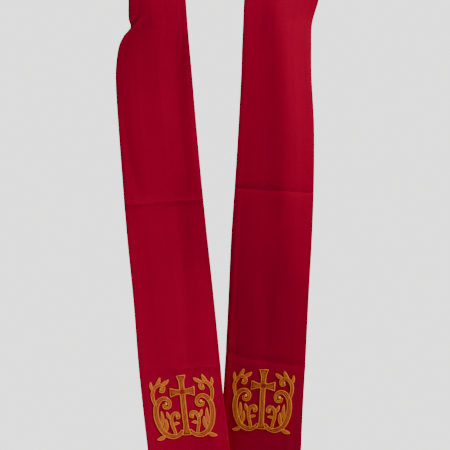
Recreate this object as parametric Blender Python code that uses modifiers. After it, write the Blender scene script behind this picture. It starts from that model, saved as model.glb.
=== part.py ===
"""Clerical stole in its worn form: two long strips joined behind the neck.

The strips run over the shoulders, down the chest and hang plumb to their hems.
Each strip is one wall of cloth, and carries a raised ornament near its hem.
Metres, +Z up. The wearer faces -Y, so the wearer's right half is at -X.
The origin is the middle of the neck's base, level with the shoulders.
"""

import math

import bmesh
import bpy
from mathutils import Vector

MM = 0.001

# Cloth
CLOTH_WALL = 2.0 * MM
SEAM_HALF_GAP = 0.2
MEAN_WIDTH = 140.0
COLUMNS = 10

# Embroidery
THREAD_GAP = 0.7 * MM
THREAD_WALL = 0.9 * MM
MOTIF_SCALE = 0.93
RIGHT_MOTIF_CENTRE = 1096.0
LEFT_MOTIF_CENTRE = 1085.0

# Distances along a strip from the seam behind the neck, in millimetres:
# (from, to, spacing of the rows of points)
ROW_SPACING = (
    (0.0, 380.0, 12.7),
    (380.0, 500.0, 7.5),
    (500.0, 680.0, 18.0),
    (680.0, 740.0, 7.5),
    (740.0, 980.0, 20.0),
    (980.0, 1060.0, 8.0),
    (1060.0, 1180.0, 12.0),
    (1180.0, 1323.0, 17.875),
)

# A row per section of a strip, in millimetres. along: distance from the seam behind
# the neck. inner and outer: where the edge near the neck and the far edge lie.
# lift_in and lift_out: how far the cloth stands out at 1/3 and 2/3 of its width.
SECTION_COLUMNS = ("along", "inner", "outer", "lift_in", "lift_out")

# The back and the shoulder are alike on both sides. Stated for the +X side.
NECK_SECTIONS = (
    (0.0, (0.0, 77.0, 26.0), (0.0, 116.0, -98.0), 3.0, 3.0),
    (61.0, (37.0, 69.0, 27.0), (80.0, 106.0, -84.0), 3.5, 3.5),
    (117.0, (61.0, 45.0, 25.0), (145.0, 81.0, -58.0), 5.0, 5.0),
    (177.0, (70.0, 5.0, 17.0), (186.0, 22.0, -33.0), 7.0, 7.0),
    (226.0, (67.0, -35.0, -1.0), (191.0, -28.0, -44.0), 8.0, 8.0),
)

# Wearer's right side (-X)
RIGHT_SECTIONS = (
    (278.0, (-64.0, -68.0, -42.0), (-186.0, -59.0, -72.0), 8.0, 10.0),
    (330.0, (-59.5, -92.0, -92.0), (-172.0, -80.0, -104.0), 5.0, 8.0),
    (367.0, (-57.4, -104.5, -138.6), (-161.4, -97.5, -133.0), 2.0, 4.0),
    (391.0, (-55.6, -110.5, -164.3), (-160.6, -103.0, -159.9), 1.5, 3.7),
    (404.0, (-54.6, -113.0, -178.1), (-159.6, -105.0, -173.9), 1.1, 3.7),
    (416.5, (-53.6, -115.9, -190.4), (-156.0, -106.1, -187.4), 0.6, 4.4),
    (424.0, (-52.9, -117.6, -197.6), (-161.4, -106.8, -194.9), 0.0, 5.0),
    (432.0, (-52.2, -119.3, -205.5), (-168.2, -108.3, -203.0), -0.5, 4.9),
    (453.0, (-50.2, -121.7, -227.0), (-177.6, -112.4, -225.3), -1.4, 4.6),
    (501.0, (-45.9, -125.0, -274.6), (-182.2, -119.7, -276.6), -2.6, 4.3),
    (582.0, (-39.4, -127.4, -351.0), (-176.8, -130.8, -363.2), -2.2, 3.4),
    (689.0, (-29.4, -134.8, -459.0), (-168.4, -135.7, -471.5), -2.5, 1.6),
    (729.0, (-25.4, -137.9, -498.9), (-165.0, -139.4, -511.5), -2.5, 0.5),
    (797.0, (-18.4, -139.4, -566.5), (-158.9, -142.6, -579.1), -2.2, -1.4),
    (904.0, (-6.7, -142.2, -673.8), (-147.9, -149.3, -686.0), -0.5, -1.7),
    (1011.0, (4.0, -145.0, -780.9), (-139.3, -152.5, -792.7), -0.5, -1.5),
    (1092.0, (11.6, -149.5, -861.1), (-131.0, -154.5, -872.6), 0.0, -1.5),
    (1172.0, (21.4, -156.0, -941.3), (-121.8, -156.0, -952.5), -1.8, -4.0),
    (1323.0, (35.7, -158.0, -1091.0), (-106.0, -157.5, -1101.6), -1.6, -3.2),
)

# Wearer's left side (+X)
LEFT_SECTIONS = (
    (278.0, (60.0, -68.0, -42.0), (190.0, -66.0, -74.0), 8.0, 8.0),
    (330.0, (53.0, -92.0, -92.0), (187.0, -84.0, -108.0), 6.0, 7.0),
    (367.0, (49.7, -105.0, -137.9), (184.1, -97.0, -136.1), 3.0, 1.2),
    (410.0, (47.9, -111.5, -182.4), (171.6, -106.5, -181.2), 2.6, 4.2),
    (453.0, (45.9, -116.0, -226.3), (169.7, -114.0, -225.7), 3.3, 4.8),
    (501.0, (44.3, -120.5, -274.6), (169.7, -120.8, -276.2), 3.8, 5.2),
    (582.0, (40.1, -125.5, -353.3), (173.5, -130.2, -360.9), 2.0, 4.4),
    (650.0, (36.0, -128.6, -421.9), (173.3, -138.6, -429.9), 1.8, 4.1),
    (710.0, (31.9, -128.6, -482.4), (171.9, -143.6, -490.0), 1.9, 3.5),
    (797.0, (26.0, -129.4, -569.2), (168.0, -152.9, -576.3), 2.2, 2.4),
    (904.0, (20.9, -127.5, -676.9), (161.3, -163.0, -683.0), 2.0, 2.8),
    (1011.0, (15.7, -126.5, -784.7), (155.9, -166.5, -789.5), 2.8, 2.6),
    (1092.0, (10.8, -126.0, -865.4), (151.2, -168.5, -869.4), 1.8, 2.0),
    (1172.0, (6.6, -124.5, -946.2), (147.4, -173.5, -949.3), 0.4, -1.0),
    (1323.0, (-1.8, -123.5, -1097.0), (141.8, -174.5, -1098.4), 0.4, -0.8),
)

# A row per fold. path: its line through (across, along) points, where across is 0 at the
# inner edge and 1 at the outer one. half_width: of its soft profile. height: above the
# cloth, and below 0 for a trough. fade: how softly the line's ends die out.
FOLD_COLUMNS = ("path", "half_width", "height", "fade")

RIGHT_FOLDS = (
    (((0.53, 421.0), (0.44, 474.0), (0.45, 560.0)), 22.0, 1.2, 50.0),
    (((0.04, 474.0), (0.06, 501.0), (0.075, 560.0), (0.07, 680.0)), 13.0, 1.7, 36.0),
    (((0.0, 730.0), (0.02, 800.0)), 34.0, 2.2, 50.0),
    (((0.92, 573.0), (0.9, 636.0), (0.84, 690.0)), 9.0, -0.8, 25.0),
    (((0.32, 770.0), (0.37, 994.0)), 14.0, -1.0, 50.0),
    (((0.72, 800.0), (0.66, 990.0)), 22.0, 1.0, 60.0),
    (((0.17, 1160.0), (0.17, 1323.0)), 20.0, 1.4, 22.0),
    (((-0.1, 732.4), (1.1, 727.6)), 7.5, 0.9, 20.0),
    (((-0.1, 1029.5), (1.1, 1025.5)), 9.0, 1.0, 20.0),
    (((-0.1, 100.0), (1.1, 102.0)), 11.0, 1.8, 20.0),
    (((0.05, 38.0), (0.62, 66.0)), 13.0, 1.9, 26.0),
    (((0.02, 150.0), (0.66, 172.0)), 15.0, -2.2, 34.0),
    (((0.08, 196.0), (0.8, 226.0)), 14.0, 1.7, 36.0),
    (((0.3, 262.0), (0.95, 296.0)), 13.0, -1.5, 30.0),
)
LEFT_FOLDS = (
    (((0.47, 388.0), (0.57, 439.0), (0.61, 490.0), (0.66, 582.0), (0.66, 690.0)), 27.0, 3.3, 40.0),
    (((0.7, 740.0), (0.8, 850.0)), 24.0, 1.8, 40.0),
    (((0.47, 885.0), (0.53, 1010.0)), 17.0, -1.3, 45.0),
    (((0.88, 950.0), (0.9, 1018.0)), 16.0, 0.6, 30.0),
    (((0.86, 1172.0), (0.87, 1323.0)), 8.0, 0.8, 20.0),
    (((-0.1, 706.9), (1.1, 708.5)), 7.0, -0.9, 20.0),
    (((-0.1, 1004.5), (1.1, 1019.5)), 7.0, -1.0, 20.0),
    (((-0.1, 399.0), (1.1, 401.0)), 10.0, -0.2, 20.0),
    (((-0.1, 92.0), (1.1, 90.0)), 11.0, -1.8, 20.0),
    (((0.04, 30.0), (0.5, 52.0)), 12.0, 1.5, 24.0),
    (((0.02, 140.0), (0.72, 158.0)), 16.0, 2.0, 36.0),
    (((0.05, 186.0), (0.6, 204.0)), 12.0, -1.8, 30.0),
    (((0.22, 240.0), (0.9, 278.0)), 15.0, 1.5, 34.0),
)

# Ornament: a cross between two sprays of scrolls and leaves, in millimetres from its
# centre, before MOTIF_SCALE makes it smaller.
CROSS_FOOT = -52.0
CROSS_HEAD = 61.0
CROSS_SPAN = 23.0
CROSS_BAR = 30.0
CROSS_WAIST = 4.3
CROSS_FLARE = 8.6
CROSS_FLARE_LENGTH = 17.0
CROSS_CELL = 8.0
# Points along the +X scroll, from the cross's foot to its curled tip, and its widths
STEM_CELLS = 36
STEM_POINTS = (
    (7.0, -44.0, 4.4),
    (16.0, -52.0, 5.8),
    (29.0, -53.5, 7.2),
    (41.5, -46.5, 8.2),
    (50.0, -32.0, 8.6),
    (54.0, -13.0, 8.6),
    (52.0, 6.0, 8.0),
    (43.0, 18.0, 6.8),
    (32.0, 19.0, 5.6),
    (25.5, 11.0, 4.8),
    (28.0, 2.5, 4.2),
    (36.0, 2.0, 3.7),
    (38.5, 8.0, 3.1),
)
# A smaller scroll that grows from the outer side of the first one
BRANCH_ROOT = 19
BRANCH_CELLS = 18
BRANCH_POINTS = (
    (56.5, 19.0, 5.0),
    (57.0, 31.0, 5.4),
    (51.5, 42.0, 5.2),
    (42.0, 46.5, 4.7),
    (34.5, 41.0, 4.2),
    (36.5, 33.5, 3.6),
    (43.0, 34.5, 3.0),
)
# The smallest scroll, which grows from the inner side of the first one
SHOOT_ROOT = 4
SHOOT_CELLS = 18
SHOOT_POINTS = (
    (22.5, -42.0, 4.4),
    (25.5, -31.0, 5.0),
    (26.0, -20.0, 5.0),
    (21.5, -11.5, 4.7),
    (14.0, -10.5, 4.2),
    (11.0, -17.0, 3.6),
    (16.0, -20.0, 3.0),
)
# A row per leaf. cell: where it grows from its scroll. side: 1 on the scroll's left as
# it runs to its tip and -1 on its right. tip: the leaf's end. bend: of its middle line.
LEAF_COLUMNS = ("cell", "side", "tip", "width", "bend")
STEM_LEAVES = (
    (9, 1, (36.5, -20.0), 6.8, 1.5),
    (12, 1, (43.8, -4.0), 6.0, 2.0),
    (8, -1, (57.5, -57.0), 6.2, -1.5),
)
BRANCH_LEAVES = (
    (5, -1, (58.5, 53.0), 4.8, -1.0),
    (8, -1, (40.5, 60.5), 5.8, 1.5),
    (11, -1, (24.0, 55.0), 6.2, 1.5),
)
SHOOT_LEAVES = (
    (3, 1, (12.0, -29.0), 4.6, -1.0),
    (7, -1, (33.5, -6.5), 5.2, -1.0),
)
# (share of the leaf's length, half its width there as a share of its width)
LEAF_PROFILE = ((0.3, 0.42), (0.62, 0.46), (0.85, 0.27), (1.0, 0.06))

# Colours: red, green, blue, roughness
CLOTH_COLOUR = (0.26, 0.002, 0.019, 0.85)
GOLD_COLOUR = (0.52, 0.14, 0.02, 0.5)


def clear_scene():
    """Remove every object of the start-up scene."""
    for item in list(bpy.data.objects):
        bpy.data.objects.remove(item, do_unlink=True)


def make_material(name, colour):
    """Make a plain material from red, green, blue and roughness."""
    material = bpy.data.materials.new(name)
    material.use_nodes = True
    shader = material.node_tree.nodes["Principled BSDF"]
    shader.inputs["Base Color"].default_value = (*colour[:3], 1.0)
    shader.inputs["Roughness"].default_value = colour[3]
    shader.inputs["Metallic"].default_value = 0.0
    return material


def side_rows(side):
    """List one side's sections, mirrored where the table states the +X side."""
    own = RIGHT_SECTIONS if side < 0 else LEFT_SECTIONS
    rows = []
    for along, inner, outer, lift_in, lift_out in NECK_SECTIONS:
        near = Vector((inner[0] * side, inner[1], inner[2]))
        far = Vector((outer[0] * side, outer[1], outer[2]))
        if along == 0.0:
            near.x = SEAM_HALF_GAP * side
            far.x = SEAM_HALF_GAP * side
        rows.append((along, near, far, lift_in, lift_out))
    for along, inner, outer, lift_in, lift_out in own:
        rows.append((along, Vector(inner), Vector(outer), lift_in, lift_out))
    return rows


def mirrored_row(row):
    """Give the row beyond the seam: the first one's image in the plane X = 0."""
    along, near, far, lift_in, lift_out = row
    near = Vector((-near.x, near.y, near.z))
    far = Vector((-far.x, far.y, far.z))
    return (-along, near, far, lift_in, lift_out)


def hermite(before, start, end, after, along, pick):
    """Blend one column of four rows smoothly at a distance between the middle two."""
    span = end[0] - start[0]
    share = (along - start[0]) / span
    slope_0 = (pick(end) - pick(before)) * (span / (end[0] - before[0]))
    slope_1 = (pick(after) - pick(start)) * (span / (after[0] - start[0]))
    square = share * share
    cube = square * share
    return (
        pick(start) * (2.0 * cube - 3.0 * square + 1.0)
        + slope_0 * (cube - 2.0 * square + share)
        + pick(end) * (3.0 * square - 2.0 * cube)
        + slope_1 * (cube - square)
    )


def fold_share(path, half_width, fade, across, along):
    """Give how much of its full height a fold has at a place: 1 along its line."""
    share = 0.0
    for start, end in zip(path, path[1:]):
        dx, dy = (end[0] - start[0]) * MEAN_WIDTH, end[1] - start[1]
        length = math.hypot(dx, dy)
        px, py = (across - start[0]) * MEAN_WIDTH, along - start[1]
        forward = (px * dx + py * dy) / length
        aside = (px * dy - py * dx) / length
        beyond = max(0.0, -forward, forward - length)
        near = math.exp(-((aside / half_width) ** 2) - (beyond / fade) ** 2)
        share = max(share, near)
    return share


class Strip:
    """One half of the stole, as a surface over (across, along)."""

    def __init__(self, side):
        self.side = side
        self.rows = side_rows(side)
        self.folds = RIGHT_FOLDS if side < 0 else LEFT_FOLDS

    def section(self, along):
        """Give the inner point, outer point and two lifts at a distance."""
        rows = self.rows
        index = 0
        while index < len(rows) - 2 and rows[index + 1][0] < along:
            index += 1
        start, end = rows[index], rows[index + 1]
        before = rows[index - 1] if index > 0 else mirrored_row(rows[1])
        last = index + 2 < len(rows)
        after = rows[index + 2] if last else self.row_beyond()
        return [
            hermite(before, start, end, after, along, lambda row, k=k: row[k])
            for k in range(1, 5)
        ]

    def row_beyond(self):
        """Continue the last section in a straight line."""
        last, prior = self.rows[-1], self.rows[-2]
        return (
            2.0 * last[0] - prior[0],
            last[1] * 2.0 - prior[1],
            last[2] * 2.0 - prior[2],
            last[3],
            last[4],
        )

    def lift(self, across, along, lift_in, lift_out):
        """Sum the section's own curve and every fold at one place."""
        rest = 1.0 - across
        height = 4.5 * rest * across * (lift_in * rest + lift_out * across)
        for path, half_width, fold_height, fade in self.folds:
            height += fold_height * fold_share(path, half_width, fade, across, along)
        return height

    def flat_point(self, across, along):
        """Give the point on the straight line between the two edges."""
        near, far, _lift_in, _lift_out = self.section(along)
        return near.lerp(far, across)

    def normal(self, across, along):
        """Give the direction away from the wearer, before any fold."""
        step = 4.0
        low = max(0.0, along - step)
        run = self.flat_point(across, along + step) - self.flat_point(across, low)
        near, far, _lift_in, _lift_out = self.section(along)
        return run.cross(far - near).normalized() * self.side

    def point(self, across, along):
        """Give the point of the outside surface, in millimetres."""
        near, far, lift_in, lift_out = self.section(along)
        height = self.lift(across, along, lift_in, lift_out)
        return near.lerp(far, across) + self.normal(across, along) * height


class Grid:
    """The points of one strip's outside, and what lies between them."""

    def __init__(self, side):
        self.strip = Strip(side)
        self.alongs = row_places()
        self.points = [
            [self.strip.point(column / COLUMNS, along) for column in range(COLUMNS + 1)]
            for along in self.alongs
        ]
        for near_seam in self.points[0]:
            near_seam.x = SEAM_HALF_GAP * side

    def on_cloth(self, aside, along):
        """Give the point at a distance from the strip's middle, on its flat cells.

        aside is along +X from the middle line and along runs from the neck.
        """
        near, far, _lift_in, _lift_out = self.strip.section(along)
        width = (far - near).length
        across = 0.5 + aside * self.strip.side / width
        row = 0
        while row < len(self.alongs) - 2 and self.alongs[row + 1] < along:
            row += 1
        low, high = self.alongs[row], self.alongs[row + 1]
        down = (along - low) / (high - low)
        column = min(COLUMNS - 1, int(across * COLUMNS))
        over = across * COLUMNS - column
        upper = self.points[row][column].lerp(self.points[row][column + 1], over)
        lower = self.points[row + 1][column].lerp(self.points[row + 1][column + 1], over)
        return upper.lerp(lower, down)


def row_places():
    """List the rows' distances along a strip."""
    places = [0.0]
    for start, end, spacing in ROW_SPACING:
        count = max(1, round((end - start) / spacing))
        places += [start + (end - start) * (k + 1) / count for k in range(count)]
    return places


def add_object(name, vertices, faces, material, collection, wall, offset):
    """Make an object from a surface, and thicken it to a wall."""
    mesh = bpy.data.meshes.new(name)
    mesh.from_pydata([tuple(v) for v in vertices], [], faces)
    mesh.validate()
    mesh.materials.append(material)
    item = bpy.data.objects.new(name, mesh)
    collection.objects.link(item)
    thicken = item.modifiers.new("wall", "SOLIDIFY")
    thicken.thickness = wall
    thicken.offset = offset
    thicken.use_even_offset = False
    return item


def add_panel(name, grid, material, collection):
    """Make one half of the stole: its wall goes inwards from the outside surface."""
    vertices = [point * MM for row in grid.points for point in row]
    stride = COLUMNS + 1
    faces = []
    for row in range(len(grid.points) - 1):
        for column in range(COLUMNS):
            corner = row * stride + column
            face = (corner, corner + 1, corner + 1 + stride, corner + stride)
            faces.append(face if grid.strip.side < 0 else face[::-1])
    return add_object(name, vertices, faces, material, collection, CLOTH_WALL, -1.0)


def cross_bands():
    """List the cross's arms as bands: pairs of edge points from the middle outwards."""
    arms = (
        ((0.0, -1.0), CROSS_BAR - CROSS_FOOT),
        ((0.0, 1.0), CROSS_HEAD - CROSS_BAR),
        ((1.0, 0.0), CROSS_SPAN),
        ((-1.0, 0.0), CROSS_SPAN),
    )
    bands = []
    for (x, y), reach in arms:
        waist_end = reach - CROSS_FLARE_LENGTH
        count = max(1, round((waist_end - CROSS_WAIST) / CROSS_CELL))
        run = (waist_end - CROSS_WAIST) / count
        places = [CROSS_WAIST + run * k for k in range(count + 1)]
        places += [waist_end + CROSS_FLARE_LENGTH * k / 3.0 for k in (1, 2, 3)]
        band = []
        for place in places:
            flare = max(0.0, (place - waist_end) / CROSS_FLARE_LENGTH)
            half = CROSS_WAIST + (CROSS_FLARE - CROSS_WAIST) * flare * flare
            along, up = x * place, CROSS_BAR + y * place
            band.append(((along - y * half, up + x * half), (along + y * half, up - x * half)))
        bands.append(band)
    return bands


def scroll_at(rows, place):
    """Give the point, the unit direction and the width at a share of a scroll."""
    points = [Vector(p) for p in rows]
    scaled = min(max(place, 0.0), 0.9999) * (len(points) - 1)
    index = int(scaled)
    share = scaled - index
    p1, p2 = points[index], points[index + 1]
    p0 = points[index - 1] if index > 0 else p1 * 2.0 - p2
    p3 = points[index + 2] if index + 2 < len(points) else p2 * 2.0 - p1
    square, cube = share * share, share**3
    point = 0.5 * (
        p1 * 2.0
        + (p2 - p0) * share
        + (p0 * 2.0 - p1 * 5.0 + p2 * 4.0 - p3) * square
        + (p1 * 3.0 - p0 - p2 * 3.0 + p3) * cube
    )
    run = 0.5 * (
        (p2 - p0)
        + (p0 * 2.0 - p1 * 5.0 + p2 * 4.0 - p3) * (2.0 * share)
        + (p1 * 3.0 - p0 - p2 * 3.0 + p3) * (3.0 * square)
    )
    return point.xy, run.xy.normalized(), point.z


def scroll_band(rows, cells, first):
    """List a scroll's pairs of edge points, from its first cell to its tip."""
    band = []
    for step in range(first, cells + 1):
        point, run, width = scroll_at(rows, step / cells)
        square = Vector((-run.y, run.x)) * (width / 2.0)
        band.append((tuple(point + square), tuple(point - square)))
    return band


def side_edge(band, cell, side):
    """Give the edge of one cell of a band, in the order that a new band starts from."""
    pick = 0 if side > 0 else 1
    edge = (band[cell][pick], band[cell + 1][pick])
    return edge if side > 0 else edge[::-1]


def leaf_band(edge, tip, width, bend):
    """List a leaf's pairs of edge points, from the edge that it grows on to its tip."""
    root = (Vector(edge[0]) + Vector(edge[1])) / 2.0
    reach = Vector(tip) - root
    aside = Vector((-reach.y, reach.x)).normalized()
    band = [edge]
    for share, half in LEAF_PROFILE:
        centre = root + reach * share + aside * (4.0 * bend * share * (1.0 - share))
        run = (reach + aside * (4.0 * bend * (1.0 - 2.0 * share))).normalized()
        square = Vector((-run.y, run.x)) * (width * half)
        band.append((tuple(centre + square), tuple(centre - square)))
    return band


class Sheet:
    """A flat pattern of bands that is laid on one strip of cloth."""

    def __init__(self, grid, centre, mirror):
        self.grid = grid
        self.centre = centre
        self.mirror = mirror
        self.spots = {}
        self.vertices = []
        self.faces = []

    def lay(self, spot):
        """Give the number of the point at a spot, and make it if it is new."""
        aside = spot[0] * MOTIF_SCALE * self.mirror
        up = spot[1] * MOTIF_SCALE
        key = (round(aside, 3), round(up, 3))
        if key not in self.spots:
            place = self.grid.on_cloth(aside, self.centre - up)
            self.vertices.append(place * MM + Vector((0.0, -THREAD_GAP, 0.0)))
            self.spots[key] = len(self.vertices) - 1
        return self.spots[key]

    def fill(self, band):
        """Make the faces between each pair of points of a band and the next."""
        pairs = [(self.lay(a), self.lay(b)) for a, b in band]
        self.faces += [(p[0], p[1], q[1], q[0]) for p, q in zip(pairs, pairs[1:])]


def add_motif(name, grid, centre, material, collection):
    """Make one ornament on its strip: a cross, and a spray on each side of its foot."""
    arms = cross_bands()
    foot = [pair[0] for pair in arms[0]]
    sheets = Sheet(grid, centre, 1.0)
    for arm in arms:
        sheets.fill(arm)
    sheets.fill([arms[0][0], arms[1][0][::-1]])
    stem = [(foot[-3], foot[-2])] + scroll_band(STEM_POINTS, STEM_CELLS, 1)
    branch_root = side_edge(stem, BRANCH_ROOT, -1)
    branch = [branch_root] + scroll_band(BRANCH_POINTS, BRANCH_CELLS, 0)
    shoot_root = side_edge(stem, SHOOT_ROOT, 1)
    shoot = [shoot_root] + scroll_band(SHOOT_POINTS, SHOOT_CELLS, 0)
    scrolls = ((stem, STEM_LEAVES), (branch, BRANCH_LEAVES), (shoot, SHOOT_LEAVES))
    for mirror in (1.0, -1.0):
        sheets.mirror = mirror
        for band, leaves in scrolls:
            sheets.fill(band)
            for cell, side, tip, width, bend in leaves:
                sheets.fill(leaf_band(side_edge(band, cell, side), tip, width, bend))
    item = add_object(
        name, sheets.vertices, sheets.faces, material, collection, THREAD_WALL, 1.0
    )
    face_outwards(item)
    return item


def face_outwards(item):
    """Turn every face of a flat surface to look away from the wearer."""
    shape = bmesh.new()
    shape.from_mesh(item.data)
    for face in shape.faces:
        face.normal_update()
        if face.normal.y > 0.0:
            face.normal_flip()
    shape.to_mesh(item.data)
    shape.free()


def main():
    """Build the stole's two halves and their ornaments."""
    clear_scene()
    collection = bpy.data.collections.new("clerical_stole")
    bpy.context.scene.collection.children.link(collection)
    cloth_right = make_material("panel_right", CLOTH_COLOUR)
    cloth_left = make_material("panel_left", CLOTH_COLOUR)
    gold_right = make_material("motif_right", GOLD_COLOUR)
    gold_left = make_material("motif_left", GOLD_COLOUR)
    right = Grid(-1)
    left = Grid(1)
    add_panel("panel_right", right, cloth_right, collection)
    add_panel("panel_left", left, cloth_left, collection)
    add_motif("motif_right", right, RIGHT_MOTIF_CENTRE, gold_right, collection)
    add_motif("motif_left", left, LEFT_MOTIF_CENTRE, gold_left, collection)


main()
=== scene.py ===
"""Dressed model of a clerical stole in its worn form.

Two strips of crimson cloth hang from the shoulders. Each one is a lined and
interlined panel with turned edges and storage creases, and carries a gold ornament
near its hem. Tables are in millimetres, and meshes in metres.
"""

from __future__ import annotations

import logging
import math
from dataclasses import dataclass, field
from enum import Enum

import bpy
import numpy as np
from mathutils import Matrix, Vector

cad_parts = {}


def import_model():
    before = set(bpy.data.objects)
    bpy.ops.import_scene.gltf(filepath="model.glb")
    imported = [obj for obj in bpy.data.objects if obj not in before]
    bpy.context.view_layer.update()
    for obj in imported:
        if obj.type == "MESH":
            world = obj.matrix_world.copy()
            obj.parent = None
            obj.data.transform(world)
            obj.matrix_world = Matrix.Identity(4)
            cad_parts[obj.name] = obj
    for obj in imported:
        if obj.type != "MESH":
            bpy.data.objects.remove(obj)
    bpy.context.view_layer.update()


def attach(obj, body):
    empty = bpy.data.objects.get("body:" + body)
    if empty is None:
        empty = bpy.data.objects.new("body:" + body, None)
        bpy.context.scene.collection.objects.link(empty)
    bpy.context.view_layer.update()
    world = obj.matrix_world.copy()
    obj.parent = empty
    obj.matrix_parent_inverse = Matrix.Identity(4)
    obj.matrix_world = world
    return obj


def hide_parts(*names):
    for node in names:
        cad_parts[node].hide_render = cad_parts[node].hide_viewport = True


LOG = logging.getLogger("clerical_stole")
MM = 0.001
# Turns a share of a strip's width into millimetres for folds and edges
MEAN_WIDTH = 140.0
# Makes lifts about the heights of a section's curve a third of the way from each edge
THIRDS = 4.5
# Rounds the very middle of a sharp crease, in millimetres
CREASE_TIP = 0.25


class Side(Enum):
    """Which of the wearer's sides a strip hangs on; the value is its sign along X."""

    RIGHT = -1
    LEFT = 1

    @property
    def word(self) -> str:
        """Give the side's name as the nodes spell it."""
        return self.name.lower()


class Layer(Enum):
    """What an ornament is built up of; the value is the word in its piece's name."""

    GROUND = "ground"
    SATIN = "satin"
    CORD = "cord"


# --------------------------------------------------------------------------- form


@dataclass(frozen=True)
class Section:
    """A strip's cross-section: its distance along, its two edges and its curve.

    The lifts are how high the cloth bulges near its inner and its outer edge.
    """

    along: float
    inner: tuple[float, float, float]
    outer: tuple[float, float, float]
    lift_in: float
    lift_out: float

    def row(self, mirror: float = 1.0) -> list[float]:
        """Give the section as one row of numbers.

        Args:
            mirror: 1, or -1 to mirror the section in X.

        Returns:
            Its two points and its two lifts, one after another.
        """
        x0, y0, z0 = self.inner
        x1, y1, z1 = self.outer
        return [x0 * mirror, y0, z0, x1 * mirror, y1, z1, self.lift_in, self.lift_out]


@dataclass(frozen=True)
class Fold:
    """A ridge or trough along a line of (across, along) points.

    Its height is below 0 in a trough, and it fades out over a distance past its ends.
    A crease is sharp along its middle; every other fold has a soft round profile.
    """

    path: tuple[tuple[float, float], ...]
    half_width: float
    height: float
    fade: float
    sharp: bool = False

    def rise(self, across: np.ndarray, along: np.ndarray) -> np.ndarray:
        """Give the fold's height at each place on the cloth.

        Args:
            across: 0 at the inner edge and 1 at the outer one.
            along: distances from the seam, in millimetres.

        Returns:
            Heights in millimetres, below 0 in a trough.
        """
        share = np.zeros_like(across)
        for start, end in zip(self.path, self.path[1:]):
            dx, dy = (end[0] - start[0]) * MEAN_WIDTH, end[1] - start[1]
            length = math.hypot(dx, dy)
            px, py = (across - start[0]) * MEAN_WIDTH, along - start[1]
            forward = (px * dx + py * dy) / length
            aside = (px * dy - py * dx) / length
            beyond = np.maximum(0.0, np.maximum(-forward, forward - length))
            if self.sharp:
                away = np.hypot(aside, CREASE_TIP) - CREASE_TIP
                profile = np.exp(-away / self.half_width)
            else:
                profile = np.exp(-((aside / self.half_width) ** 2))
            share = np.maximum(share, profile * np.exp(-((beyond / self.fade) ** 2)))
        return share * self.height


NECK_SECTIONS = (
    Section(0.0, (0.0, 77.0, 26.0), (0.0, 116.0, -98.0), 3.0, 3.0),
    Section(61.0, (37.0, 69.0, 27.0), (80.0, 106.0, -84.0), 3.5, 3.5),
    Section(117.0, (61.0, 45.0, 25.0), (145.0, 81.0, -58.0), 5.0, 5.0),
    Section(177.0, (70.0, 5.0, 17.0), (186.0, 22.0, -33.0), 7.0, 7.0),
    Section(226.0, (67.0, -35.0, -1.0), (191.0, -28.0, -44.0), 8.0, 8.0),
)

RIGHT_SECTIONS = (
    Section(278.0, (-64.0, -68.0, -42.0), (-186.0, -59.0, -72.0), 8.0, 10.0),
    Section(330.0, (-59.5, -92.0, -92.0), (-172.0, -80.0, -104.0), 5.0, 8.0),
    Section(367.0, (-57.4, -104.5, -138.6), (-161.4, -97.5, -133.0), 2.0, 4.0),
    Section(391.0, (-55.6, -110.5, -164.3), (-160.6, -103.0, -159.9), 1.5, 3.7),
    Section(404.0, (-54.6, -113.0, -178.1), (-159.6, -105.0, -173.9), 1.1, 3.7),
    Section(416.5, (-53.6, -115.9, -190.4), (-156.0, -106.1, -187.4), 0.6, 4.4),
    Section(424.0, (-52.9, -117.6, -197.6), (-161.4, -106.8, -194.9), 0.0, 5.0),
    Section(432.0, (-52.2, -119.3, -205.5), (-168.2, -108.3, -203.0), -0.5, 4.9),
    Section(453.0, (-50.2, -121.7, -227.0), (-177.6, -112.4, -225.3), -1.4, 4.6),
    Section(501.0, (-45.9, -125.0, -274.6), (-182.2, -119.7, -276.6), -2.6, 4.3),
    Section(582.0, (-39.4, -127.4, -351.0), (-176.8, -130.8, -363.2), -2.2, 3.4),
    Section(689.0, (-29.4, -134.8, -459.0), (-168.4, -135.7, -471.5), -2.5, 1.6),
    Section(729.0, (-25.4, -137.9, -498.9), (-165.0, -139.4, -511.5), -2.5, 0.5),
    Section(797.0, (-18.4, -139.4, -566.5), (-158.9, -142.6, -579.1), -2.2, -1.4),
    Section(904.0, (-6.7, -142.2, -673.8), (-147.9, -149.3, -686.0), -0.5, -1.7),
    Section(1011.0, (4.0, -145.0, -780.9), (-139.3, -152.5, -792.7), -0.5, -1.5),
    Section(1092.0, (11.6, -149.5, -861.1), (-131.0, -154.5, -872.6), 0.0, -1.5),
    Section(1172.0, (21.4, -156.0, -941.3), (-121.8, -156.0, -952.5), -1.8, -4.0),
    Section(1323.0, (35.7, -158.0, -1091.0), (-106.0, -157.5, -1101.6), -1.6, -3.2),
)

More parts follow.
